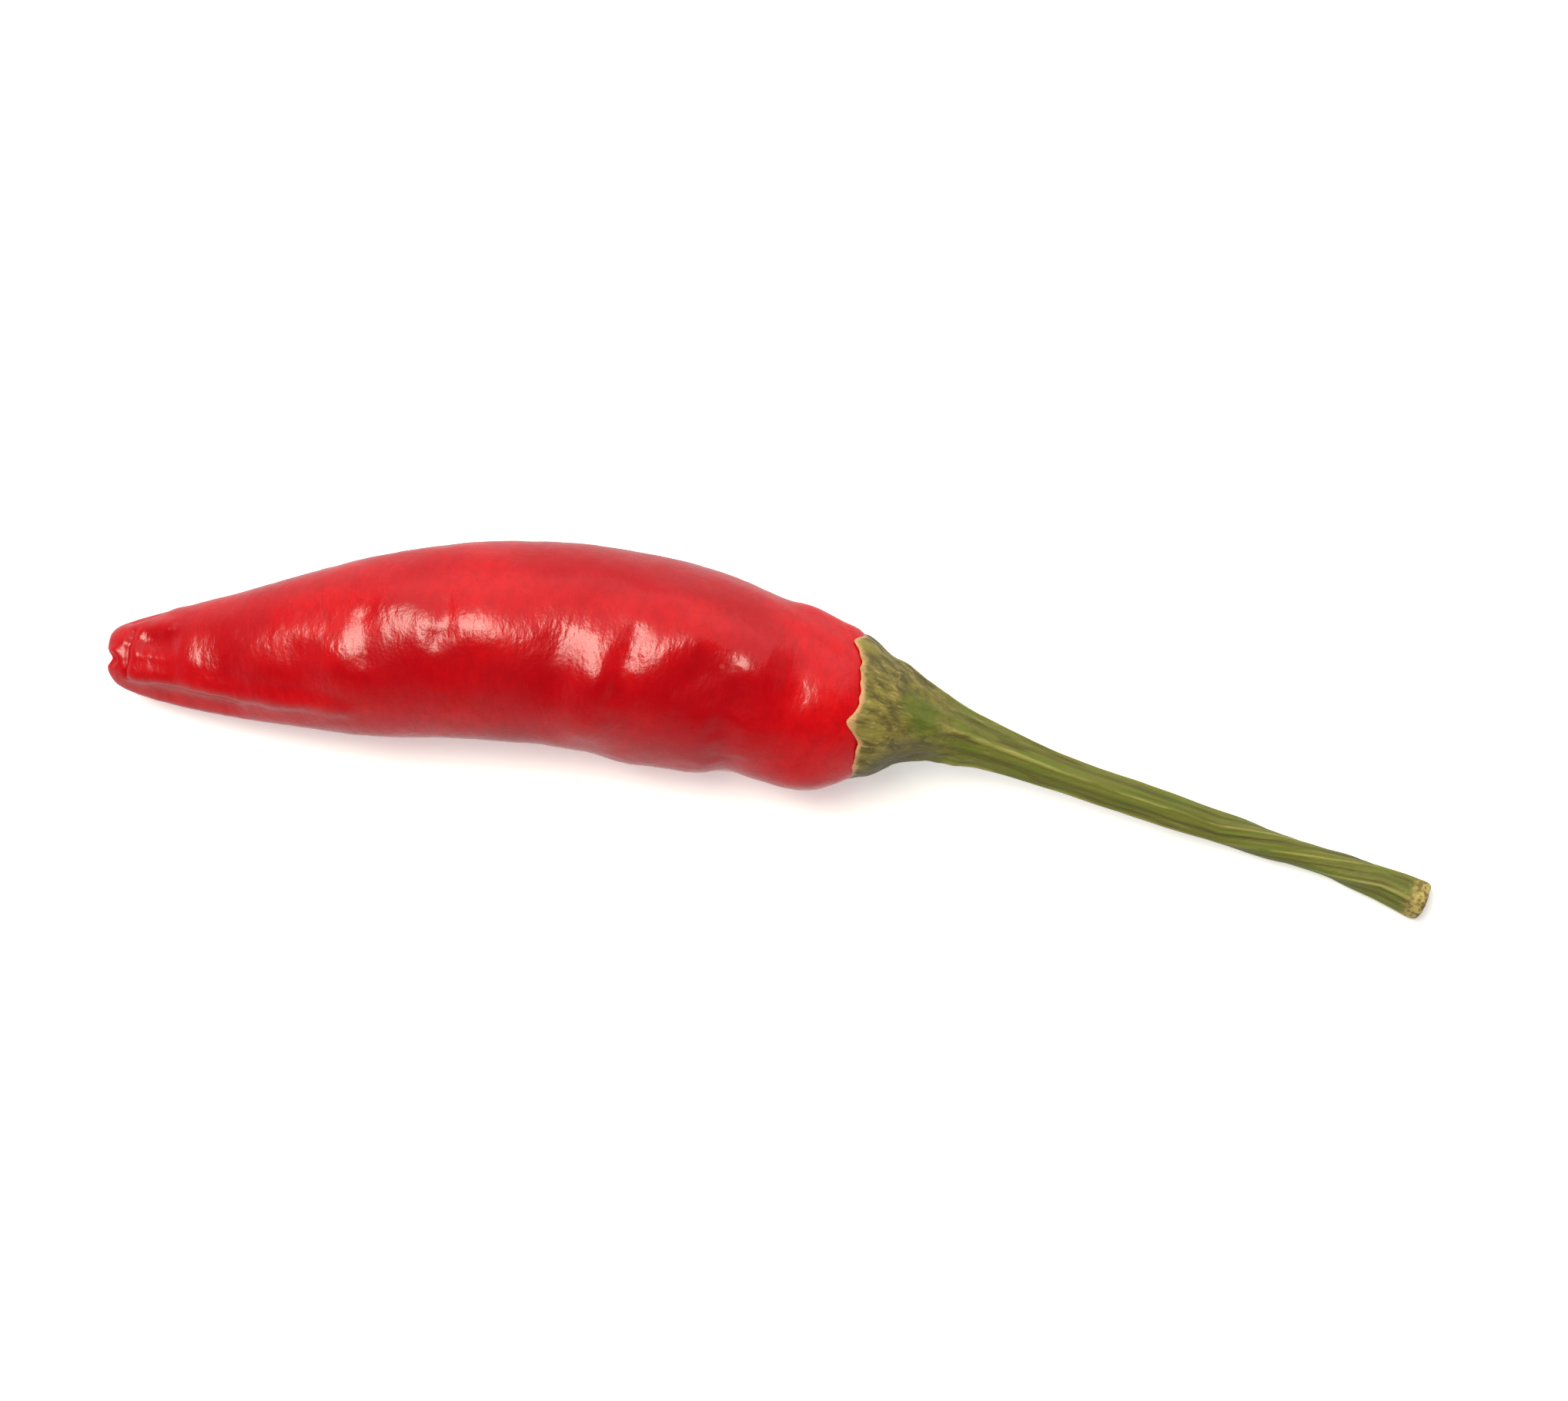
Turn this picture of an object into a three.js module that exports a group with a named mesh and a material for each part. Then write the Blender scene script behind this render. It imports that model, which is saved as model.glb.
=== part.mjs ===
// A fresh red chilli pepper lying on its side: a curved, slightly lumpy pod, and the green calyx that
// caps its blunt end and runs on as the stalk, down to the cut end that touches the table.
// Millimetres, +Z up. +X runs from the pod's tip to the stalk's cut end, and the pod bows towards +Y.
// The origin is the centre of the whole outline, on the surface that the chilli rests on.
import * as THREE from "three";
import { mergeVertices } from "three/addons/utils/BufferGeometryUtils.js";

// ---- driving dimensions ------------------------------------------------------------------------
// Every length along the chilli is measured on its spine, from the tip of the pod.
const CALYX_AT = 45.8; // where the calyx's rim lies on the pod's shoulder
const DOME_END = 49.2; // end of the pod, hidden inside the calyx
const SEAT_GAP = 0.3; // between the pod and the calyx that caps it
const RIM_THICK = 0.25; // the calyx's wall at its rim
const SEAT_LEAN = 1.7; // how much further along the calyx sits on the -Y side than on the +Y side
const POD_FLATNESS = 0.94; // the pod's height over its width
const TOOTH_COUNT = 6; // points round the calyx's rim
const TOOTH_FIRST = 38; // angle of the first point, in degrees
const TOOTH_REACH = 0.35; // how far a point reaches past the rim's mean line
const RIB_COUNT = 5; // ridges that run from the calyx up the stalk
const RIB_SHARE = 0.07; // height of a ridge, as a share of the radius there
const STALK_TWIST = 0.035; // turn of the ridges, in radians per millimetre

const POD_SIDES = 44;
const POD_RINGS = 46;
const STALK_SIDES = 30;
const STALK_RINGS = 44;

// The line through the middle of the chilli, tip first: along, across and height.
const SPINE = new THREE.CatmullRomCurve3(
  [
    [0, 0, 3.2],
    [5, 0.8, 3.6],
    [13, 2.7, 5.0],
    [23, 5.2, 5.7],
    [32.5, 6.0, 5.85],
    [41, 5.5, 5.6],
    [46, 5.3, 5.5],
    [52, 4.8, 4.9],
    [60, 3.6, 3.8],
    [70, 2.2, 2.3],
    [78, 1.1, 1.4],
    [82.8, 0, 1.1],
  ].map((place) => new THREE.Vector3(...place)),
);
const CUT_END = SPINE.getLength();

// Half of the pod's width at a distance along the spine. The last points are inside the calyx.
const POD_HALF_WIDTH = [
  [0, 0],
  [0.3, 1.3],
  [1.6, 2.4],
  [5, 3.3],
  [11, 4.5],
  [18, 5.8],
  [26, 6.25],
  [33, 6.4],
  [38, 6.0],
  [43, 5.2],
  [44.8, 4.75],
  [45.9, 4.1],
  [47.3, 3.1],
  [48.7, 1.9],
  [DOME_END, 0],
];

// Half of the calyx's and stalk's width, from the rim to the cut end.
const STALK_HALF_WIDTH = [
  [CALYX_AT + 0.7, 4.2],
  [48.2, 3.4],
  [50.4, 2.45],
  [52.7, 1.88],
  [55.2, 1.52],
  [60, 1.15],
  [66.5, 1.13],
  [72, 0.95],
  [77, 0.88],
  [80.5, 1.08],
  [CUT_END - 0.9, 1.2],
];

// Swellings (positive) and dents (negative) of the pod: distance along the spine, angle round it in
// degrees (0 is the +Y side, 90 the top, 180 the -Y side), height, and half lengths along and around.
const LUMPS = [
  { along: 42.7, angle: 190, height: 0.85, long: 2.5, round: 3.4 },
  { along: 38.8, angle: 185, height: -0.45, long: 1.2, round: 3.0 },
  { along: 36.2, angle: 95, height: -0.4, long: 1.7, round: 2.0 },
  { along: 31.0, angle: 100, height: -0.25, long: 1.4, round: 2.4 },
  { along: 33.4, angle: 110, height: 0.2, long: 1.6, round: 1.8 },
  { along: 28.2, angle: 100, height: 0.2, long: 1.5, round: 2.0 },
  { along: 22.5, angle: 115, height: -0.2, long: 2.4, round: 2.4 },
  { along: 16.0, angle: 105, height: 0.2, long: 2.6, round: 2.4 },
  { along: 40.5, angle: 75, height: 0.25, long: 2.0, round: 2.2 },
  { along: 4.2, angle: 120, height: -0.4, long: 1.6, round: 1.3 },
  { along: 9.0, angle: 155, height: -0.35, long: 5.0, round: 1.0 },
  { along: 24.0, angle: 200, height: -0.25, long: 4.0, round: 2.6 },
  { along: 34.0, angle: 20, height: -0.25, long: 3.0, round: 2.2 },
  { along: 20.0, angle: 335, height: -0.3, long: 3.0, round: 2.6 },
  { along: 12.0, angle: 290, height: 0.25, long: 3.0, round: 2.4 },
  { along: 40.0, angle: 320, height: -0.3, long: 2.4, round: 2.4 },
];

// ---- shape helpers -----------------------------------------------------------------------------
// A smooth profile through [along, half width] points, as the [half width, along] points of a lathe.
function profileThrough(points, count) {
  const line = new THREE.SplineCurve(points.map(([along, half]) => new THREE.Vector2(half, along)));
  return line.getSpacedPoints(count).map((p) => new THREE.Vector2(Math.max(p.x, 0), p.y));
}

// The pod's half width at one place along the spine, from the same rings that its skin has.
const POD_PROFILE = profileThrough(POD_HALF_WIDTH, POD_RINGS);
function podHalfWidth(along) {
  const next = POD_PROFILE.findIndex((ring) => ring.y >= along);
  if (next < 1) return 0;
  const [a, b] = [POD_PROFILE[next - 1], POD_PROFILE[next]];
  return THREE.MathUtils.mapLinear(along, a.y, b.y, a.x, b.x);
}

// The point at a distance along the spine, an angle round it and a distance from it.
const UP = new THREE.Vector3(0, 0, 1);
function onSpine(along, angle, out, flatness) {
  const share = THREE.MathUtils.clamp(along / CUT_END, 0, 1);
  const forward = SPINE.getTangentAt(share);
  const side = new THREE.Vector3().crossVectors(UP, forward).normalize();
  const top = new THREE.Vector3().crossVectors(forward, side);
  return SPINE.getPointAt(share)
    .addScaledVector(side, out * Math.cos(angle))
    .addScaledVector(top, out * Math.sin(angle) * flatness);
}

// How much further along a point lies, because the calyx sits on the pod a little askew.
function lean(along, angle, out) {
  const near = THREE.MathUtils.smoothstep(along, 36, CALYX_AT);
  const past = THREE.MathUtils.smoothstep(along, DOME_END + 0.5, DOME_END + 5);
  const across = (out * Math.cos(angle)) / podHalfWidth(CALYX_AT);
  return (SEAT_LEAN / 2) * near * (1 - past) * (1 - across);
}

// How much the lumps swell the pod at one place.
function lumpHeight(along, angle, out) {
  return LUMPS.reduce((sum, lump) => {
    const turn = angle - THREE.MathUtils.degToRad(lump.angle);
    const around = out * Math.atan2(Math.sin(turn), Math.cos(turn));
    const far = ((along - lump.along) / lump.long) ** 2 + (around / lump.round) ** 2;
    return sum + lump.height * Math.exp(-far);
  }, 0);
}

// Turns a lathed skin, upright on +Y, into a skin along the spine. place() gives the distance along
// and the distance out for a point of the skin, and what would sink below the table lies flat on it.
function bend(skin, flatness, place) {
  const points = skin.getAttribute("position");
  for (let i = 0; i < points.count; i++) {
    const angle = Math.atan2(points.getX(i), points.getZ(i));
    const half = Math.hypot(points.getX(i), points.getZ(i));
    const [along, out] = place(points.getY(i), angle, half);
    const p = onSpine(along + lean(along, angle, out), angle, out, flatness);
    points.setXYZ(i, p.x, p.y, Math.max(p.z, 0));
  }
  skin.deleteAttribute("normal");
  skin.deleteAttribute("uv");
  const merged = mergeVertices(skin, 1e-3);
  merged.computeVertexNormals();
  return merged;
}

function named(name, geometry, colour, roughness) {
  const material = new THREE.MeshStandardMaterial({ color: colour, roughness, metalness: 0 });
  const mesh = new THREE.Mesh(geometry, material);
  mesh.name = name;
  return mesh;
}

// ---- the pod -----------------------------------------------------------------------------------
function makePod() {
  const skin = new THREE.LatheGeometry(POD_PROFILE, POD_SIDES);
  return bend(skin, POD_FLATNESS, (along, angle, half) => {
    const showing = THREE.MathUtils.smoothstep(CALYX_AT - along, TOOTH_REACH, 2.5);
    const swell = showing * lumpHeight(along, angle, half) * Math.min(1, half / 2);
    return [along, half + swell];
  });
}

// ---- the calyx and stalk -----------------------------------------------------------------------
// The calyx's points reach over the shoulder of the pod, and its rim follows the pod at SEAT_GAP.
function makeCalyxAndStalk() {
  const rim = podHalfWidth(CALYX_AT) + SEAT_GAP;
  const innerLine = POD_PROFILE.filter((ring) => ring.y > CALYX_AT + SEAT_GAP)
    .reverse()
    .map((ring) => new THREE.Vector2(ring.x > 0 ? ring.x + SEAT_GAP / 2 : 0, ring.y + SEAT_GAP));
  const outerLine = profileThrough(STALK_HALF_WIDTH, STALK_RINGS);
  const profile = [
    ...innerLine,
    new THREE.Vector2(rim, CALYX_AT),
    new THREE.Vector2(rim + RIM_THICK, CALYX_AT + RIM_THICK / 2),
    ...outerLine,
    new THREE.Vector2(0.85, CUT_END - 0.15),
    new THREE.Vector2(0, CUT_END),
  ];
  const skin = new THREE.LatheGeometry(profile, STALK_SIDES);
  return bend(skin, 1, (along, angle, half) => {
    const nearRim = THREE.MathUtils.smoothstep(half, 3.6, rim);
    const turn = angle - THREE.MathUtils.degToRad(TOOTH_FIRST);
    const tooth = Math.abs(Math.cos((turn * TOOTH_COUNT) / 2));
    const reach = nearRim * TOOTH_REACH * (2 * tooth - 1);
    const follow = nearRim * (podHalfWidth(along - reach) - podHalfWidth(along));
    const past = THREE.MathUtils.smoothstep(along, CALYX_AT + 1, CALYX_AT + 4);
    const rib = past * RIB_SHARE * half * Math.cos(RIB_COUNT * (angle - STALK_TWIST * along));
    return [along - reach, half + follow + rib];
  });
}

// ---- the chilli --------------------------------------------------------------------------------
const chilli = new THREE.Group();
chilli.add(named("pod", makePod(), 0xc8141c, 0.25));
chilli.add(named("calyx_and_stalk", makeCalyxAndStalk(), 0x6f7a38, 0.6));

const centre = new THREE.Box3().setFromObject(chilli).getCenter(new THREE.Vector3());
chilli.position.set(-centre.x, -centre.y, 0);

export default chilli;
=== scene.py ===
# %% [markdown]
# # A fresh red chilli pepper
# One picked chilli lies on its side on a pale table: a glossy red pod, and the green calyx that caps
# its blunt end and runs on as the thin stalk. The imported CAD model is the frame. It says where the
# chilli lies and how big it is, and the pieces made here take the places of its two plain solids.

# %% Load the frame
import math

import bpy
import numpy as np
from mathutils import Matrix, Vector


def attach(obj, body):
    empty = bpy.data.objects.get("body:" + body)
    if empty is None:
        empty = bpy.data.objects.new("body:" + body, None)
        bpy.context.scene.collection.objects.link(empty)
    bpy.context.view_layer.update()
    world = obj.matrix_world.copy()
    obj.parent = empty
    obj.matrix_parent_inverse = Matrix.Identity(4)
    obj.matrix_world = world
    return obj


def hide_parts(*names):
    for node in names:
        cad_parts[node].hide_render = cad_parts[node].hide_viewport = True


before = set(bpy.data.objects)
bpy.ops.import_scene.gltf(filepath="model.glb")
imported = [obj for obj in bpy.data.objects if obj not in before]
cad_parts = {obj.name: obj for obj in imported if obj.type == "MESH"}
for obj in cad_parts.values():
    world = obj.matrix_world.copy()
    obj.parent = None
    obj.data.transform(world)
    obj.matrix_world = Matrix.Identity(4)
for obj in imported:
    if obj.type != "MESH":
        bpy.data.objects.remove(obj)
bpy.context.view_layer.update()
MM = 0.001

# %% [markdown]
# ## Working straight, then bending
# A chilli is a round thing that grew crooked. Dents and ribs are hard to place on a crooked shape, so
# both pieces are first made straight along the X axis, with the tip at zero. There, a place on the
# skin is only a distance along and an angle round. At the end both are bent along one curved line.
# A smooth line through a few points is drawn with the Bezier curve tool, whose automatic handles round
# it off, so a handful of points is enough.


# %% A smooth line through a few points
def draw_line(name, points, steps):
    """Draws a Bezier curve through points in millimetres, with a number of steps between them."""
    places = [Vector(point) * MM for point in points]
    bpy.ops.object.select_all(action="DESELECT")
    bpy.ops.curve.primitive_bezier_curve_add(location=(0, 0, 0))
    line = bpy.context.object
    line.name = name
    ends = line.data.splines[0].bezier_points
    ends[0].co = places[0]
    ends[1].co = places[1]
    bpy.ops.object.mode_set(mode="EDIT")
    bpy.ops.curve.select_all(action="DESELECT")
    line.data.splines[0].bezier_points[1].select_control_point = True
    for before, after in zip(places[1:], places[2:]):
        bpy.ops.curve.extrude_move(TRANSFORM_OT_translate={"value": after - before})
    bpy.ops.curve.select_all(action="SELECT")
    bpy.ops.curve.handle_type_set(type="AUTOMATIC")
    bpy.ops.object.mode_set(mode="OBJECT")
    line.data.resolution_u = steps
    return line


# %% Spinning an outline round the X axis
def spin_round(outline, sides):
    """Turns a drawn half outline, from one pole to the other, into a closed round skin."""
    bpy.ops.object.convert(target="MESH")
    piece = bpy.context.object
    bpy.ops.object.mode_set(mode="EDIT")
    bpy.ops.mesh.select_all(action="SELECT")
    bpy.ops.mesh.spin(steps=sides, angle=math.tau, center=(0, 0, 0), axis=(1, 0, 0))
    bpy.ops.mesh.select_all(action="SELECT")
    bpy.ops.mesh.remove_doubles(threshold=0.02 * MM)
    bpy.ops.mesh.normals_make_consistent(inside=False)
    bpy.ops.object.mode_set(mode="OBJECT")
    print(piece.name, "has", len(piece.data.polygons), "faces after the spin")
    return piece


def apply_modifier(piece, kind, **settings):
    """Adds a modifier to the piece, sets it up and applies it."""
    bpy.ops.object.select_all(action="DESELECT")
    piece.select_set(True)
    bpy.context.view_layer.objects.active = piece
    modifier = piece.modifiers.new(kind.title(), kind)
    for setting, value in settings.items():
        setattr(modifier, setting, value)
    bpy.ops.object.modifier_apply(modifier=modifier.name)


def smooth_finer(piece, levels):
    """Makes the skin finer and rounder by whole levels of subdivision."""
    apply_modifier(piece, "SUBSURF", levels=levels, render_levels=levels)
    print(piece.name, "has", len(piece.data.polygons), "faces now")


# %% [markdown]
# ## The pod's body
# The pod is the fruit itself. Its half outline is drawn from the puckered tip, where the skin folds
# inwards into a tiny mouth, over the long belly to the round shoulder that the calyx hides. Spinning
# that outline gives a perfect turned shape, which is only the start: the real one is never this even.

# %% Draw and spin the pod
POD_SIDES = 24
POD_OUTLINE = [  # along, half width
    (0.9, 0),
    (0.75, 0.3),
    (0.35, 0.65),
    (0.15, 1.05),
    (0.25, 1.45),
    (0.75, 1.85),
    (1.5, 2.2),
    (3.0, 2.7),
    (5.5, 3.34),
    (8.2, 3.9),
    (11, 4.5),
    (14.5, 5.2),
    (18, 5.8),
    (22, 6.15),
    (26, 6.3),
    (29.5, 6.4),
    (33, 6.43),
    (36, 6.28),
    (39, 5.9),
    (42, 5.42),
    (43.8, 5.02),
    (45.1, 4.62),
    (46.1, 4.05),
    (47.4, 3.16),
    (48.6, 1.95),
    (49.1, 0.8),
    (49.2, 0),
]
outline = draw_line("chilli_pod", [(along, half, 0) for along, half in POD_OUTLINE], 2)
pod = spin_round(outline, POD_SIDES)
smooth_finer(pod, 1)


# %% [markdown]
# ## Picking places on the skin
# By hand, one would click a vertex and grab it with proportional editing, so that its neighbours come
# along softly. Here the vertex is found by its place: how far along, and the angle round, where 0 is
# the +Y side, 90 the top and 180 the -Y side.


# %% Helpers that pick and move the skin
def places_of(piece):
    """The places of all vertices, one row each, in metres."""
    flat = np.empty(len(piece.data.vertices) * 3, np.float32)
    piece.data.vertices.foreach_get("co", flat)
    return flat.reshape(-1, 3)


def select_only(piece, chosen):
    """Selects only the chosen vertices and goes into edit mode. chosen holds one truth a vertex."""
    bpy.ops.object.select_all(action="DESELECT")
    piece.select_set(True)
    bpy.context.view_layer.objects.active = piece
    bpy.ops.object.mode_set(mode="EDIT")
    bpy.ops.mesh.select_mode(type="VERT")
    bpy.ops.mesh.select_all(action="DESELECT")
    bpy.ops.object.mode_set(mode="OBJECT")
    piece.data.vertices.foreach_set("select", chosen)
    bpy.ops.object.mode_set(mode="EDIT")


ROUTE_STEPS = 40


def on_route(piece, route):
    """The vertices that lie along a route of (along in mm, angle in degrees) points on the skin."""
    places = places_of(piece)
    half = np.hypot(places[:, 1], places[:, 2])
    angle = np.arctan2(places[:, 2], places[:, 1])
    stops = np.array(route, float) * (MM, math.pi / 180)
    chosen = np.zeros(len(places), bool)
    for start, end in zip(stops, stops[1:] if len(stops) > 1 else stops):
        for share in np.linspace(0, 1, ROUTE_STEPS if len(stops) > 1 else 1):
            along, round_to = start + (end - start) * share
            turn = (angle - round_to + math.pi) % math.tau - math.pi
            chosen[np.hypot(places[:, 0] - along, half * turn).argmin()] = True
    return chosen


def press(piece, route, height, reach, falloff="SMOOTH"):
    """Swells the skin along a route, or dents it if height is negative, both in mm, softly over reach."""
    select_only(piece, on_route(piece, route))
    bpy.ops.transform.shrink_fatten(
        value=height * MM,
        use_proportional_edit=True,
        proportional_edit_falloff=falloff,
        proportional_size=reach * MM,
    )
    bpy.ops.object.mode_set(mode="OBJECT")


def pull(piece, route, move, reach, falloff="SMOOTH"):
    """Grabs the skin along a route and moves it by X, Y and Z in mm, softly over reach."""
    select_only(piece, on_route(piece, route))
    bpy.ops.transform.translate(
        value=Vector(move) * MM,
        use_proportional_edit=True,
        proportional_edit_falloff=falloff,
        proportional_size=reach * MM,
    )
    bpy.ops.object.mode_set(mode="OBJECT")


# %% [markdown]
# ## The pod's swells and dents
# The flesh gives way unevenly as it ripens, so the pod has a round bulge beside the calyx, a shallow
# waist next to it, and a row of soft rises and hollows along its back, which break up the shine. Each
# one is grabbed along a short route on the skin and pushed out or in, which is quicker to judge
# than a sculpted stroke and lands in the same place every time. The pod's end is also pulled sideways
# where the calyx will cover it, and the calyx gets the same pulls later, so that it keeps hugging it.

# %% Press the large swells and dents
SWELLS = [  # route, height, reach
    ([(42.8, 165), (43.0, 200)], 0.55, 3.1),
    ([(34, 185), (37, 185)], 0.3, 3.6),
    ([(42.5, 5), (45.2, 5)], 0.36, 1.8),
    ([(12.4, 92), (12.4, 110)], -0.2, 1.8),
    ([(15.1, 114), (15.3, 98)], 0.24, 1.9),
    ([(14.8, 66)], -0.14, 1.8),
    ([(20.5, 74), (20.6, 86)], 0.24, 2.4),
    ([(23.9, 74), (23.8, 86)], 0.34, 3.2),
    ([(28.2, 84), (28.3, 112)], -0.28, 1.9),
    ([(30.2, 64)], -0.2, 2.2),
    ([(30.5, 134), (30.8, 112)], 0.58, 2.7),
    ([(35.9, 82), (36.0, 74)], 0.36, 2.6),
    ([(40.0, 70), (40.1, 80)], 0.5, 2.4),
    ([(42.0, 78), (42.0, 92)], -0.18, 1.5),
    ([(44.3, 80), (44.4, 88)], 0.13, 2.2),
    ([(18.8, 58)], 0.14, 1.8),
    ([(31.0, 54)], -0.16, 1.8),
    ([(34.2, 54)], 0.16, 1.8),
    ([(7.6, 80), (8.2, 96)], -0.14, 2.0),
    ([(21, 200), (26, 200)], -0.25, 4.2),
    ([(33, 20), (35, 20)], -0.2, 4.4),
    ([(19, 335), (21, 335)], -0.25, 4.6),
    ([(11, 290), (13, 290)], 0.22, 4.2),
    ([(39.5, 320), (40.5, 320)], -0.28, 4.2),
    ([(29, 250), (30, 265)], 0.2, 4.0),
]
for route, height, reach in SWELLS:
    press(pod, route, height, reach)
NECK = [  # route, move across, reach: the same moves for the pod's end and for the cap over it
    ([(46.3, 170), (46.3, 190)], 0.2, 1.9),
    ([(48.3, 150), (48.3, 215)], 0.62, 1.8),
    ([(49.9, 150), (49.9, 215)], 0.5, 1.9),
    ([(51.5, 155), (51.5, 205)], 0.22, 1.8),
    ([(45.9, -15), (45.9, 20)], 0.25, 1.7),
]
for route, across, reach in NECK:
    pull(pod, route, (0, across, 0), reach)
smooth_finer(pod, 1)
print("swells and dents pressed:", len(SWELLS))

# %% [markdown]
# ## The puckered tip
# Where the flower dropped off, the skin is drawn together round a little mouth, with a nick in its lip,
# and one flank is folded under along a line. Folds are routes too, pressed in with a narrow falloff,
# and the skin beside them is fattened a little so that they read as deep. A few hollows of the back
# that need finer skin than the last step had are pressed here as well.

# %% Press the folds of the tip
FOLDS = [  # route, height, reach, falloff
    ([(36.3, 91), (37.2, 94), (38.6, 104)], -0.38, 2.4, "SMOOTH"),
    ([(36.5, 92), (36.7, 86)], -0.12, 0.9, "SMOOTH"),
    ([(32.1, 112), (32.3, 96), (32.5, 80)], -0.24, 1.1, "SMOOTH"),
    ([(16.6, 96), (16.9, 72)], -0.16, 1.0, "SMOOTH"),
    ([(21.2, 90), (21.4, 66)], -0.26, 0.9, "SMOOTH"),
    ([(39.3, 185), (39.2, 150), (38.8, 125)], -0.32, 1.3, "SMOOTH"),
    ([(1.75, 50), (1.45, 75), (1.4, 100), (1.5, 125)], -0.26, 0.5, "SHARP"),
    ([(0.7, 70), (0.6, 84)], 0.14, 0.6, "SMOOTH"),
    ([(2.6, 66), (3.6, 70), (4.4, 74)], -0.34, 1.1, "SMOOTH"),
    ([(3.4, 46), (4.4, 50)], 0.14, 0.9, "SMOOTH"),
    ([(6.0, 106), (6.8, 110)], 0.18, 1.6, "SMOOTH"),
    ([(1.7, 121), (3.5, 116), (5.3, 117), (8.7, 127), (12, 131), (15, 134)], 0.22, 1.0, "SMOOTH"),
    ([(1.9, 150), (3.5, 146), (6, 146), (8, 148)], -0.26, 1.4, "SMOOTH"),
    ([(4, 146), (8, 148), (12.5, 151)], -0.14, 1.8, "SMOOTH"),
    ([(1.6, 300), (4.0, 296)], -0.3, 0.9, "SHARP"),
    ([(1.6, 15), (3.4, 8)], -0.2, 0.9, "SHARP"),
]
LIP = [(98, 0.5, 0.6), (262, 0.55, 0.6), (175, 0.25, 1.0)]  # angle, depth, reach
for route, height, reach, falloff in FOLDS:
    press(pod, route, height, reach, falloff)
for angle_at, depth, reach in LIP:
    pull(pod, [(0.15, angle_at), (0.5, angle_at)], (depth, 0, 0), reach)
smooth_finer(pod, 1)
print("folds pressed:", len(FOLDS))

# %% [markdown]
# ## The fine unevenness of the skin
# Under a magnifying glass the skin is never flat. A Displace modifier pushes every vertex by a cloud
# pattern: a broad one for shallow waves, and a fine one that is stretched round the pod, because the
# drying skin wrinkles across its length. An empty object, scaled, stretches the pattern.


# %% Displace by clouds
CLOUDS_AT = Vector((13, 7, 3)) * MM  # off centre, so that no piece starts on the pattern's own middle


def ripple(piece, name, size, strength, stretch):
    """Displaces the skin by a cloud pattern of a size in mm, stretched along X, Y and Z."""
    bpy.ops.object.empty_add(location=CLOUDS_AT)
    ruler = bpy.context.object
    ruler.scale = stretch
    bpy.context.view_layer.update()
    clouds = bpy.data.textures.new(name, "CLOUDS")
    clouds.noise_scale = size * MM
    clouds.noise_depth = 1
    apply_modifier(
        piece,
        "DISPLACE",
        texture=clouds,
        texture_coords="OBJECT",
        texture_coords_object=ruler,
        strength=strength * MM,
        mid_level=0.5,
    )
    bpy.data.objects.remove(ruler)


ripple(pod, "shallow_waves", 3.0, 0.14, (1, 1.3, 1.3))
ripple(pod, "cross_wrinkles", 0.8, 0.045, (1, 1.9, 1.9))
print("half width of the pod at its widest, mm:", round(places_of(pod)[:, 1].max() / MM, 2))


# %% [markdown]
# ## The straight places, kept for the finishes
# The colours of a chilli follow its growth: streaks run down the stalk, fine wrinkles run round the
# pod. Each vertex keeps its straight place as an attribute named "straight", and the finishes read
# their patterns from it, so the patterns bend with the chilli.


# %% Keep the straight places
def keep_straight_places(piece):
    """Stores where each vertex is while the chilli is still straight."""
    kept = piece.data.attributes.new("straight", "FLOAT_VECTOR", "POINT")
    kept.data.foreach_set("vector", places_of(piece).ravel())
    print(piece.name, "keeps", len(kept.data), "straight places")


keep_straight_places(pod)

# %% [markdown]
# ## The calyx and the stalk
# They grew as one, so they are one skin. Its outline starts inside the cap, follows the pod's shoulder
# out to the thin rim, turns back over the funnel of the calyx and runs down the stalk to the cut end,
# where the knife or the picking hand left a slightly flared, hollowed face.

# %% Draw and spin the calyx and stalk
RIM_AT = 45.7
STALK_END = 84.0
STALK_SIDES = 40
GREEN_OUTLINE = [  # along, half width
    (49.35, 0),
    (49.2, 0.95),
    (48.75, 2.0),
    (47.75, 3.12),
    (46.65, 3.86),
    (RIM_AT, 4.15),
    (RIM_AT - 0.06, 4.23),
    (RIM_AT + 0.08, 4.3),
    (46.5, 4.16),
    (47.2, 3.85),
    (48.3, 3.36),
    (49.4, 2.82),
    (50.6, 2.36),
    (51.8, 2.03),
    (53.0, 1.8),
    (54.4, 1.54),
    (56.4, 1.31),
    (58.4, 1.16),
    (60.5, 1.08),
    (63.5, 1.06),
    (66.5, 1.04),
    (69.5, 0.96),
    (72.5, 0.9),
    (75, 0.83),
    (77.2, 0.82),
    (79, 0.9),
    (80.8, 1.02),
    (82.4, 1.14),
    (83.3, 1.2),
    (83.8, 1.18),
    (STALK_END, 0.98),
    (83.8, 0.75),
    (83.7, 0.45),
    (83.85, 0),
]
outline = draw_line("chilli_calyx_and_stalk", [(along, half, 0) for along, half in GREEN_OUTLINE], 2)
stalk = spin_round(outline, STALK_SIDES)

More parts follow.
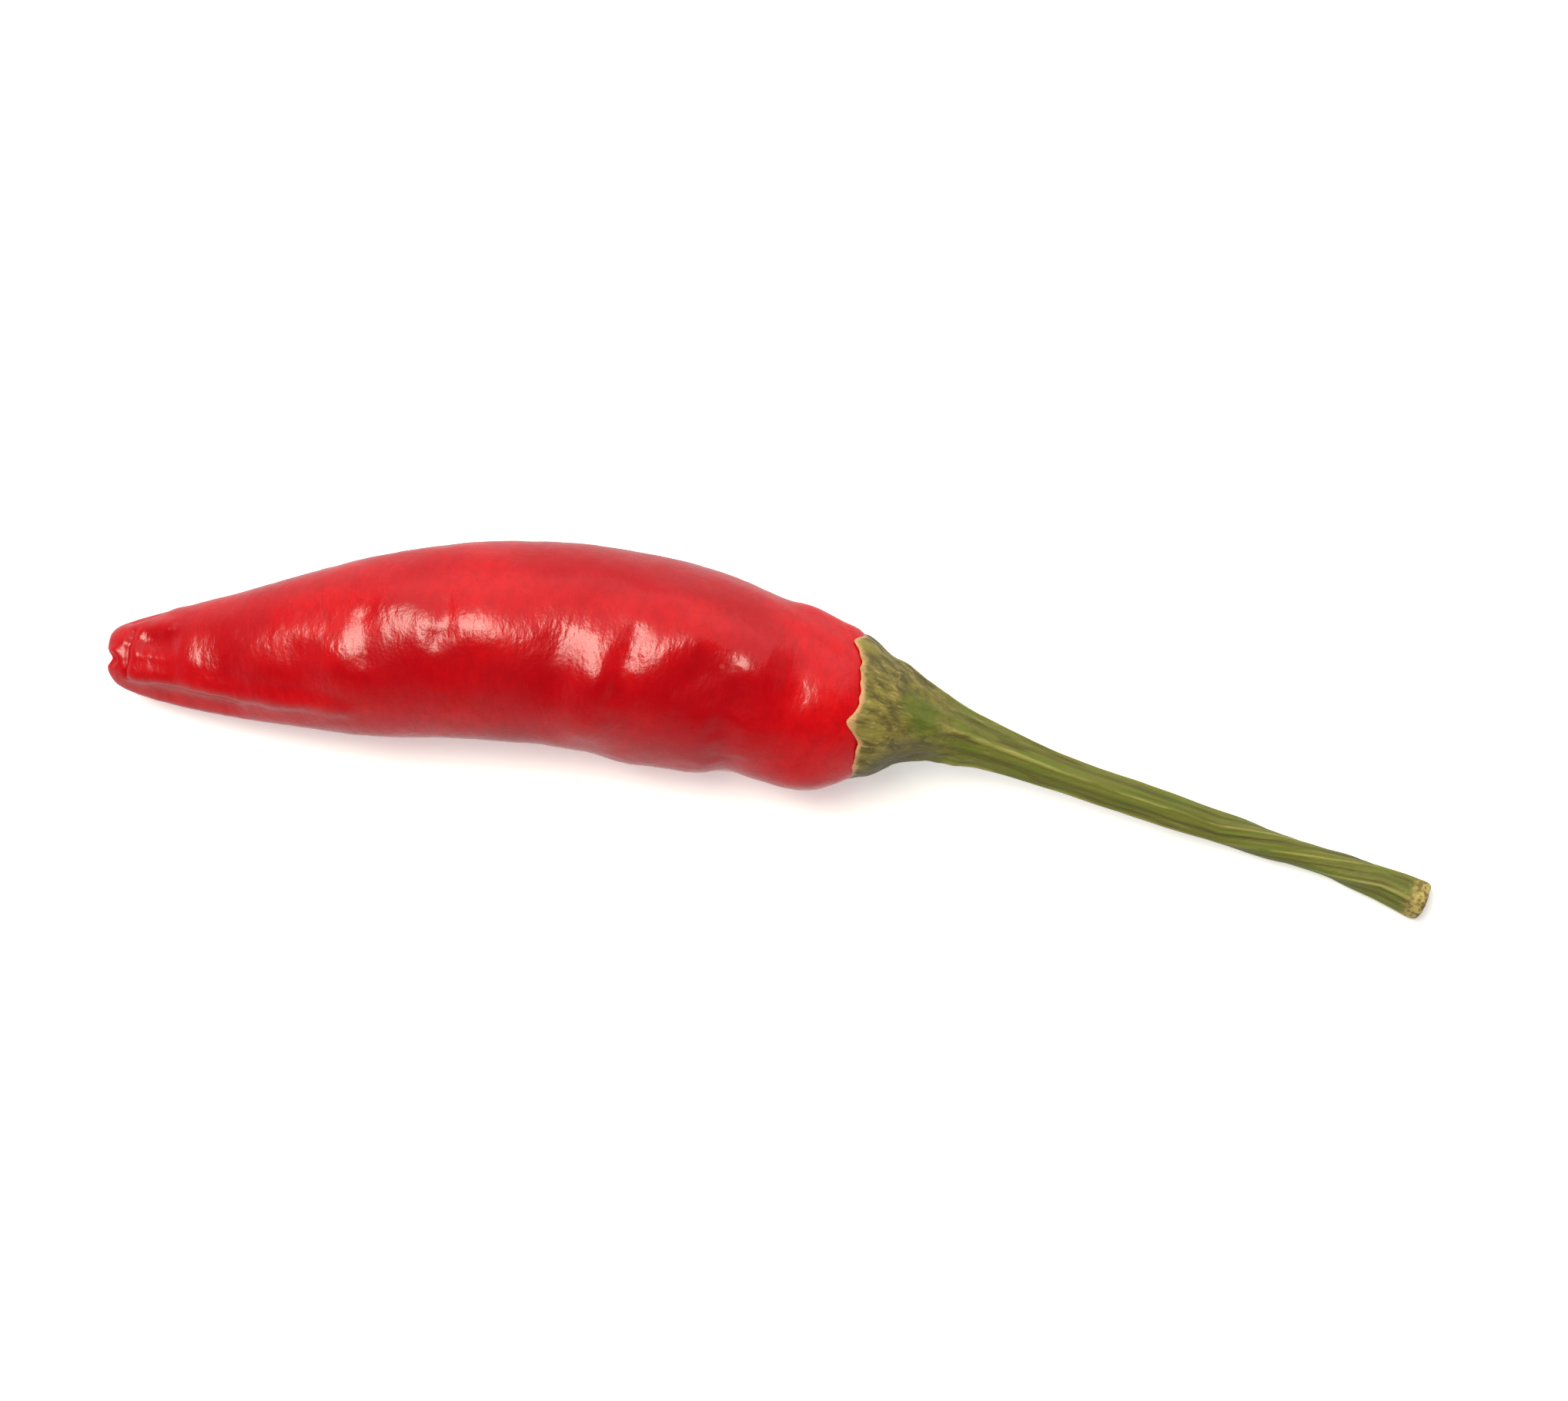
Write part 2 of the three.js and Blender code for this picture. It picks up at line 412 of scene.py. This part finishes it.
# %% Raise the ribs
RIB_COUNT = 5
RIB_TURN = 8
RIB_START = 48.2
RIB_END = 83.6
CAP_INSIDE = (49.4, 2.9)  # within this distance along and half width is the cap's inner wall
CUT_FACE = 0.85  # half width of the cut face, which stays plain
RIB_GAP = 360 / RIB_COUNT  # degrees from one crest to the next
RIB_WIDE = 5  # degrees to either side that are taken along
CREST = 1.15  # share of the half width on a crest
GROOVE = 0.92  # and in a groove
places = places_of(stalk)
angle = np.degrees(np.arctan2(places[:, 2], places[:, 1]))
half = np.hypot(places[:, 1], places[:, 2])
inside_cap = (places[:, 0] < CAP_INSIDE[0] * MM) & (half < CAP_INSIDE[1] * MM)
outside = (places[:, 0] > RIB_START * MM) & (places[:, 0] < RIB_END * MM)
outside &= (half > CUT_FACE * MM) & ~inside_cap
for share, offset in ((CREST, 0), (GROOVE, RIB_GAP / 2)):
    turn = (angle - offset - RIB_TURN + RIB_GAP / 2) % RIB_GAP - RIB_GAP / 2
    select_only(stalk, outside & (abs(turn) < RIB_WIDE))
    bpy.ops.transform.resize(value=(1, share, share), center_override=(0, 0, 0))
    bpy.ops.object.mode_set(mode="OBJECT")
smooth_finer(stalk, 1)

# %% [markdown]
# ## The points of the calyx
# The calyx ends in shallow jagged points that lie flat on the pod. Each is one pull on the rim, along
# the shoulder of the pod, with a sharp falloff that leaves a pointed tooth. Small uneven nicks between
# them keep the edge from looking cut. On the -Y side the cap hugs the pod's end and is hollower.

# %% Pull the points
keep_straight_places(stalk)
POINTS = [(26, 0.6, 1.2), (98, 0.85, 1.4), (178, 0.7, 1.2), (235, 0.6, 1.5), (310, 0.8, 1.4)]
SHOULDER_SLOPE = 0.5
for angle_at, reach, wide in POINTS:
    turn = math.radians(angle_at)
    out = reach * SHOULDER_SLOPE
    way = (-reach, out * math.cos(turn), out * math.sin(turn))
    pull(stalk, [(RIM_AT, angle_at)], way, wide, "SHARP")
smooth_finer(stalk, 1)
NICK_GAP = 13
chance = np.random.default_rng(5)
for angle_at in range(0, 360, NICK_GAP):
    pull(stalk, [(RIM_AT, angle_at)], (chance.uniform(-0.2, 0.12), 0, 0), 0.5, "SHARP")
for route, across, reach in NECK:
    pull(stalk, route, (0, across, 0), reach)
ripple(stalk, "stalk_waves", 1.6, 0.12, (2.2, 1, 1))
ripple(stalk, "fibre_ridges", 0.5, 0.1, (6, 1, 1))


# %% [markdown]
# ## Twisting the stalk
# A dried stalk turns like a rope where it is thinnest. Simple Deform twists a stretch of it, between
# two limits that are shares of the piece's length.

# %% Twist the thin stretch
TWIST_FROM = 70.5
TWIST_TO = 81.0
TWIST = -130
length = STALK_END - RIM_AT
bpy.ops.object.empty_add(location=(TWIST_FROM * MM, 0, 0))
pivot = bpy.context.object
bpy.context.view_layer.update()
apply_modifier(
    stalk,
    "SIMPLE_DEFORM",
    origin=pivot,
    deform_method="TWIST",
    deform_axis="X",
    angle=math.radians(TWIST),
    limits=((TWIST_FROM - RIM_AT) / length, (TWIST_TO - RIM_AT) / length),
)
bpy.data.objects.remove(pivot)
print("stalk twisted by", TWIST, "degrees")

# %% [markdown]
# ## Setting the calyx askew
# The calyx sits a little askew, further along on the -Y side. A lattice, a soft cage around both
# pieces, leans them together, so the cap stays on its shoulder. Then both are bent along the line
# that the chilli grew in, with the Curve modifier.

# %% Lean both pieces in one cage
SEAT_LEAN = 1.9
CAGE_FROM = 34.0
CAGE_TO = 56.0
CAGE_WIDE = 20.0
RIM_WIDE = 8.6  # width of the rim, over which the whole lean happens
LEANING = (37, 45, 50, 54)  # it comes in over the first stretch and goes out over the last
bpy.ops.object.add(type="LATTICE", location=((CAGE_FROM + CAGE_TO) / 2 * MM, 0, 0))
cage = bpy.context.object
cage.scale = Vector((CAGE_TO - CAGE_FROM, CAGE_WIDE, CAGE_WIDE)) * MM
cage.data.points_u = 12
cage.data.points_v = 2
cage.data.points_w = 2
for point in cage.data.points:
    along = CAGE_FROM + (point.co.x + 0.5) * (CAGE_TO - CAGE_FROM)
    near = np.interp(along, LEANING, (0, 1, 1, 0))
    side = 1 if point.co.y < 0 else -1
    share = SEAT_LEAN * CAGE_WIDE / RIM_WIDE / 2
    point.co_deform.x += near * (SEAT_LEAN / 2 + side * share) / (CAGE_TO - CAGE_FROM)
bpy.context.view_layer.update()
for piece in (pod, stalk):
    apply_modifier(piece, "LATTICE", object=cage)
bpy.data.objects.remove(cage)
print("calyx set askew by", SEAT_LEAN, "mm")

# %% Bend both pieces along the line of growth
SPINE = [  # along, across, height
    (0, 0, 3.2),
    (5, 0.8, 3.6),
    (13, 2.7, 5.0),
    (23, 5.2, 5.7),
    (32.5, 6.0, 5.85),
    (41, 5.5, 5.6),
    (46, 5.3, 5.5),
    (52, 4.8, 4.9),
    (60, 3.52, 3.8),
    (70, 2.12, 2.3),
    (78, 1.02, 1.4),
    (82.8, 0, 1.1),
]
POD_FLATNESS = 0.94
spine = draw_line("spine", SPINE, 32)
spine.data.twist_mode = "Z_UP"
select_only(pod, np.ones(len(pod.data.vertices), bool))
bpy.ops.transform.resize(value=(1, 1, POD_FLATNESS), center_override=(0, 0, 0))
bpy.ops.object.mode_set(mode="OBJECT")
for piece in (pod, stalk):
    apply_modifier(piece, "CURVE", object=spine, deform_axis="POS_X")
bpy.data.objects.remove(spine)
print("both pieces bent along", len(SPINE), "points")

# %% Lay both pieces on the table and centre them as the frame is
every_place = np.vstack([places_of(piece) for piece in (pod, stalk)])
middle = (every_place.min(0) + every_place.max(0)) / 2
for piece in (pod, stalk):
    select_only(piece, np.ones(len(piece.data.vertices), bool))
    bpy.ops.transform.translate(value=(-middle[0], -middle[1], 0))
    bpy.ops.object.mode_set(mode="OBJECT")
    select_only(piece, places_of(piece)[:, 2] < 0)
    bpy.ops.transform.resize(value=(1, 1, 0), center_override=(0, 0, 0))
    bpy.ops.object.mode_set(mode="OBJECT")
    bpy.ops.object.shade_smooth()
    low, high = places_of(piece).min(0) / MM, places_of(piece).max(0) / MM
    print(piece.name, "from", low.round(2), "to", high.round(2))

# %% [markdown]
# ## Painting with patterns
# Both finishes are grown from noise, with nothing painted by hand. A few small helpers add one node
# each and wire it up, so that a finish reads from top to bottom like a recipe.


# %% Helpers that add nodes
class Finish:
    """A material under construction. Each helper adds one node and gives back its output."""

    def __init__(self, name):
        self.material = bpy.data.materials.new(name)
        self.material.use_nodes = True
        self.tree = self.material.node_tree
        self.shader = self.tree.nodes["Principled BSDF"]

    def node(self, kind, **settings):
        made = self.tree.nodes.new(kind)
        for setting, value in settings.items():
            setattr(made, setting, value)
        return made

    def feed(self, socket, value):
        """Links an output to a socket, or sets the socket to a plain value."""
        if isinstance(value, bpy.types.NodeSocket):
            self.tree.links.new(value, socket)
        else:
            socket.default_value = value

    def straight(self, stretch=(1, 1, 1)):
        """The straight places, divided by a size in mm along each axis."""
        kept = self.node("ShaderNodeAttribute", attribute_name="straight")
        scaled = self.node("ShaderNodeVectorMath", operation="MULTIPLY")
        self.feed(scaled.inputs[0], kept.outputs["Vector"])
        self.feed(scaled.inputs[1], [1 / (MM * size) for size in stretch])
        return scaled.outputs["Vector"]

    def noise(self, sizes, detail=2.0, roughness=0.5):
        """Cloudy noise from 0 to 1, with blobs of the given sizes in mm along X, Y and Z."""
        clouds = self.node("ShaderNodeTexNoise")
        self.feed(clouds.inputs["Vector"], self.straight(sizes))
        self.feed(clouds.inputs["Scale"], 1.0)
        self.feed(clouds.inputs["Detail"], detail)
        self.feed(clouds.inputs["Roughness"], roughness)
        return clouds.outputs["Fac"]

    def between(self, value, low, high, to_low=0.0, to_high=1.0):
        """Brings a value from one range to another, smoothly, and cuts it off outside."""
        ranged = self.node("ShaderNodeMapRange", interpolation_type="SMOOTHSTEP")
        names = ("Value", "From Min", "From Max", "To Min", "To Max")
        for name, number in zip(names, (value, low, high, to_low, to_high)):
            self.feed(ranged.inputs[name], number)
        return ranged.outputs["Result"]

    def math(self, operation, first, second):
        """One sum, product or the like of two values."""
        made = self.node("ShaderNodeMath", operation=operation)
        self.feed(made.inputs[0], first)
        self.feed(made.inputs[1], second)
        return made.outputs["Value"]

    def mix(self, share, first, second):
        """Mixes two colours."""
        mixed = self.node("ShaderNodeMix", data_type="RGBA")
        self.feed(mixed.inputs["Factor"], share)
        self.feed(mixed.inputs["A"], first)
        self.feed(mixed.inputs["B"], second)
        return mixed.outputs["Result"]

    def along(self):
        """The distance along the straight chilli, in mm."""
        split = self.node("ShaderNodeSeparateXYZ")
        self.feed(split.inputs["Vector"], self.straight())
        return split.outputs["X"]

    def ribs(self, turn):
        """A wave round the X axis: 1 on the crests of the ribs and -1 between them."""
        split = self.node("ShaderNodeSeparateXYZ")
        self.feed(split.inputs["Vector"], self.straight())
        around = self.math("ARCTAN2", split.outputs["Z"], split.outputs["Y"])
        turns = self.math("MULTIPLY", self.math("SUBTRACT", around, math.radians(turn)), RIB_COUNT)
        return self.math("COSINE", turns, 0.0)

    def far_from(self, place):
        """The distance in mm from one place on the straight chilli."""
        gap = self.node("ShaderNodeVectorMath", operation="DISTANCE")
        self.feed(gap.inputs[0], self.straight())
        self.feed(gap.inputs[1], place)
        return gap.outputs["Value"]

    def bump(self, height, depth, below=None):
        """Raises fine relief of a depth in mm from a height between 0 and 1."""
        relief = self.node("ShaderNodeBump")
        self.feed(relief.inputs["Distance"], depth * MM)
        self.feed(relief.inputs["Height"], height)
        if below is not None:
            self.feed(relief.inputs["Normal"], below)
        return relief.outputs["Normal"]


def colour(red, green, blue):
    """A colour given as it looks on the screen, 0 to 255, as the linear one that a shader wants."""
    shares = [part / 255 for part in (red, green, blue)]
    return [((s + 0.055) / 1.055) ** 2.4 if s > 0.04 else s / 12.92 for s in shares] + [1.0]


def wear(piece, finish):
    """Makes a finish the only one on a piece."""
    piece.data.materials.clear()
    piece.data.materials.append(finish.material)
    print(piece.name, "wears", finish.material.name, "of", len(finish.tree.nodes), "nodes")


# %% [markdown]
# ## The red skin
# Ripe chilli skin is a thin waxy film over juicy red flesh. The red is deeper along the belly and
# brighter at the shoulder, with faint clouds and a few pale specks. A little subsurface scattering lets
# the light soak in, and a soft gloss with fine cross wrinkles breaks up the shine.

# %% Mix the red skin
skin = Finish("red_skin")
deep = colour(169, 1, 13)
bright = colour(190, 8, 16)
cloudy = skin.between(skin.noise((7, 5, 5)), 0.35, 0.68)
red_base = skin.mix(cloudy, deep, bright)
shoulder = skin.between(skin.along(), 38, 44)
red_base = skin.mix(skin.math("MULTIPLY", shoulder, 0.7), red_base, colour(207, 8, 16))
mottle = skin.between(skin.noise((0.5, 0.8, 0.8), 3), 0.3, 0.75, 0.0, 0.35)
red_base = skin.mix(mottle, red_base, colour(150, 0, 14))
cells = skin.node("ShaderNodeTexVoronoi")
skin.feed(cells.inputs["Vector"], skin.straight((2.4, 2.4, 2.4)))
skin.feed(cells.inputs["Scale"], 1.0)
lucky = skin.node("ShaderNodeSeparateColor")
skin.feed(lucky.inputs["Color"], cells.outputs["Color"])
spot = skin.between(cells.outputs["Distance"], 0.09, 0.04)
speck = skin.math("MULTIPLY", spot, skin.between(lucky.outputs["Red"], 0.72, 0.74))
red_base = skin.mix(skin.math("MULTIPLY", speck, 0.55), red_base, colour(236, 150, 130))
skin.feed(skin.shader.inputs["Base Color"], red_base)
skin.feed(skin.shader.inputs["Roughness"], skin.between(skin.noise((3, 3, 3)), 0.3, 0.7, 0.22, 0.3))
skin.feed(skin.shader.inputs["IOR"], 1.42)
skin.feed(skin.shader.inputs["Subsurface Weight"], 0.3)
skin.feed(skin.shader.inputs["Subsurface Radius"], (1.0, 0.12, 0.08))
skin.feed(skin.shader.inputs["Subsurface Scale"], 0.0012)
wrinkles = skin.bump(skin.noise((0.42, 0.9, 0.9), 3), 0.042)
pores = skin.bump(skin.noise((0.2, 0.24, 0.24), 1), 0.012, wrinkles)
skin.feed(skin.shader.inputs["Normal"], pores)
wear(pod, skin)

# %% [markdown]
# ## The green of the calyx and stalk
# The stalk is dry and matt: fibres run along it as lighter and darker streaks. The calyx is browner
# and mottled, its rim has dried to a thin tan edge, one fresh green patch is left on top, and the cut
# end is straw coloured.

# %% Mix the green stalk
bark = Finish("green_stalk")
streaks = bark.noise((7, 0.42, 0.42), 2, 0.55)
green_base = bark.mix(bark.between(streaks, 0.3, 0.5), colour(84, 78, 30), colour(104, 108, 38))
green_base = bark.mix(bark.between(streaks, 0.58, 0.74), green_base, colour(142, 138, 70))
leafy = bark.between(bark.noise((3.2, 0.8, 0.8), 1), 0.5, 0.66, 0.0, 0.5)
green_base = bark.mix(leafy, green_base, colour(92, 112, 28))
# Painted shade: the grooves between the ribs are painted darker, as if in shadow.
groove = bark.between(bark.ribs(RIB_TURN), -0.55, -1.0, 0.0, 0.4)
green_base = bark.mix(groove, green_base, colour(70, 64, 26))
# Painted highlight: the crests of the ribs are painted paler, where light from above would catch them.
crest = bark.between(bark.ribs(RIB_TURN), 0.8, 1.0, 0.0, 0.4)
crest = bark.math("MULTIPLY", crest, bark.between(bark.noise((4, 0.6, 0.6), 3), 0.38, 0.56))
green_base = bark.mix(crest, green_base, colour(178, 168, 92))
patchy = bark.between(bark.noise((1.8, 0.6, 0.6), 4, 0.65), 0.34, 0.66)
cap_colour = bark.mix(patchy, colour(86, 78, 34), colour(134, 124, 54))
flecks = bark.between(bark.noise((0.8, 0.25, 0.25), 2, 0.6), 0.54, 0.72, 0.0, 0.6)
cap_colour = bark.mix(flecks, cap_colour, colour(170, 150, 92))
# Painted shade: the cap's -Y side, low down by the table, is painted greyer and darker, as if turned away
# from the light.
painted_lower_shade = bark.math("ADD", bark.far_from((49.0, -3.4, 0.8)), bark.noise((2, 0.4, 0.4), 3))
painted_lower_shade = bark.between(painted_lower_shade, 4.6, 2.8, 0.0, 0.75)
cap_colour = bark.mix(painted_lower_shade, cap_colour, colour(98, 90, 62))
on_cap = bark.between(bark.along(), 54, 48.5)
green_base = bark.mix(on_cap, green_base, cap_colour)
ragged = bark.math("ADD", bark.far_from((49.5, 0.8, 2.8)), bark.noise((1, 0.5, 0.5), 3))
fresh = bark.between(ragged, 2.6, 1.1)
green_base = bark.mix(bark.math("MULTIPLY", fresh, 0.8), green_base, colour(84, 100, 14))
edge_wave = bark.math("MULTIPLY", bark.noise((0.4, 0.5, 0.5), 2), 0.6)
tan_edge = bark.between(bark.math("ADD", bark.along(), edge_wave), RIM_AT + 0.62, RIM_AT + 0.26)
green_base = bark.mix(bark.math("MULTIPLY", tan_edge, 0.8), green_base, colour(204, 158, 110))
straw = bark.between(bark.math("ADD", bark.along(), bark.noise((0.5, 0.3, 0.3), 2)), 82.9, 84.1)
pith = bark.between(bark.noise((0.3, 0.3, 0.3), 2), 0.4, 0.6)
cut_colour = bark.mix(pith, colour(118, 98, 48), colour(178, 162, 92))
green_base = bark.mix(straw, green_base, cut_colour)
bark.feed(bark.shader.inputs["Base Color"], green_base)
bark.feed(bark.shader.inputs["Roughness"], bark.between(streaks, 0.3, 0.7, 0.62, 0.48))
bark.feed(bark.shader.inputs["IOR"], 1.4)
fibres = bark.bump(bark.noise((3, 0.28, 0.28), 3, 0.6), 0.14)
grain = bark.bump(bark.noise((0.3, 0.2, 0.2), 2), 0.03, fibres)
bark.feed(bark.shader.inputs["Normal"], grain)
wear(stalk, bark)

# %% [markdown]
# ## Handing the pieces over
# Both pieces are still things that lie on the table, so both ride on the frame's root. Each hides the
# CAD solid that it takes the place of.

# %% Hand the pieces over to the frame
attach(pod, "root")
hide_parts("pod")
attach(stalk, "root")
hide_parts("calyx_and_stalk")

# %% [markdown]
# ## The table
# A wide pale plane. It glows a little, like a light table, so that the chilli's shadow stays soft and
# pale. Glossy rays don't see it, because its white would wash out the red where the pod turns away.

# %% The table
bpy.ops.object.select_all(action="DESELECT")
TABLE_SIZE = 3.0
bpy.ops.mesh.primitive_plane_add(size=TABLE_SIZE, location=(0, 0, 0))
table = bpy.context.object
table.name = "table"
pale = Finish("pale_table")
pale.feed(pale.shader.inputs["Base Color"], (0.93, 0.93, 0.93, 1))
pale.feed(pale.shader.inputs["Roughness"], 0.7)
pale.feed(pale.shader.inputs["Emission Color"], (1, 1, 1, 1))
pale.feed(pale.shader.inputs["Emission Strength"], 0.4)
wear(table, pale)
table.visible_glossy = False


# %% [markdown]
# ## The lights
# The key is a small window of warm light, almost straight above, and it makes the bright patches on
# every rise that faces the tip. The veil is a large faint one towards +Y, which lays the soft pink sheen
# on that half. The room is dark overhead and pale low down, so the -Y half stays a deep red and only its
# edge picks up light.


# %% The lights
def soft_light(name, tilt, toward, far, size, power):
    """A square soft light, tilted from straight above towards a direction in the table's plane."""
    lean, turn = math.radians(tilt), math.radians(toward)
    way = Vector((math.sin(lean) * math.cos(turn), math.sin(lean) * math.sin(turn), math.cos(lean)))
    bpy.ops.object.light_add(type="AREA", location=way * far)
    light = bpy.context.object
    light.name = name
    light.rotation_euler = way.to_track_quat("Z", "Y").to_euler()
    light.data.shape = "RECTANGLE"
    light.data.size, light.data.size_y = size
    light.data.energy = power
    print(name, "shines with", power, "W from", round(far, 2), "m away")
    return light


key = soft_light("key", 22, 150, 1.0, (0.34, 0.62), 12)
key.data.color = (1, 0.92, 0.8)
soft_light("veil", 50, 90, 1.1, (1.8, 1.4), 7)
world = bpy.data.worlds.new("room")
bpy.context.scene.world = world
world.use_nodes = True
room = world.node_tree
direction = room.nodes.new("ShaderNodeTexCoord")
parts = room.nodes.new("ShaderNodeSeparateXYZ")
room.links.new(direction.outputs["Generated"], parts.inputs["Vector"])
glow = room.nodes.new("ShaderNodeMapRange")
room.links.new(parts.outputs["Z"], glow.inputs["Value"])
GLOW = {"From Min": -0.1, "From Max": 0.7, "To Min": 0.75, "To Max": 0.06}  # low down to overhead
for name, number in GLOW.items():
    glow.inputs[name].default_value = number
room.links.new(glow.outputs["Result"], room.nodes["Background"].inputs["Strength"])
room.nodes["Background"].inputs["Color"].default_value = (1, 1, 1, 1)

# %% [markdown]
# ## The camera
# It looks straight down through a long lens from far away, so that the chilli is hardly foreshortened,
# and it is rolled a little, so that the stalk points to the lower right.

# %% The camera
VIEW_WIDTH = 97.0
LENS = 180.0
SENSOR = 36.0
ROLL = 10.7
camera_data = bpy.data.cameras.new("camera")
camera = bpy.data.objects.new("camera", camera_data)
bpy.context.scene.collection.objects.link(camera)
camera_data.lens = LENS
camera_data.sensor_width = SENSOR
camera.location = (0, 0, VIEW_WIDTH * MM * LENS / SENSOR)
camera.rotation_euler = (0, 0, math.radians(ROLL))
camera_data.clip_start = 0.01
bpy.context.scene.camera = camera
bpy.context.scene.view_settings.view_transform = "Standard"
print("camera", round(camera.location.z, 2), "m above the table")
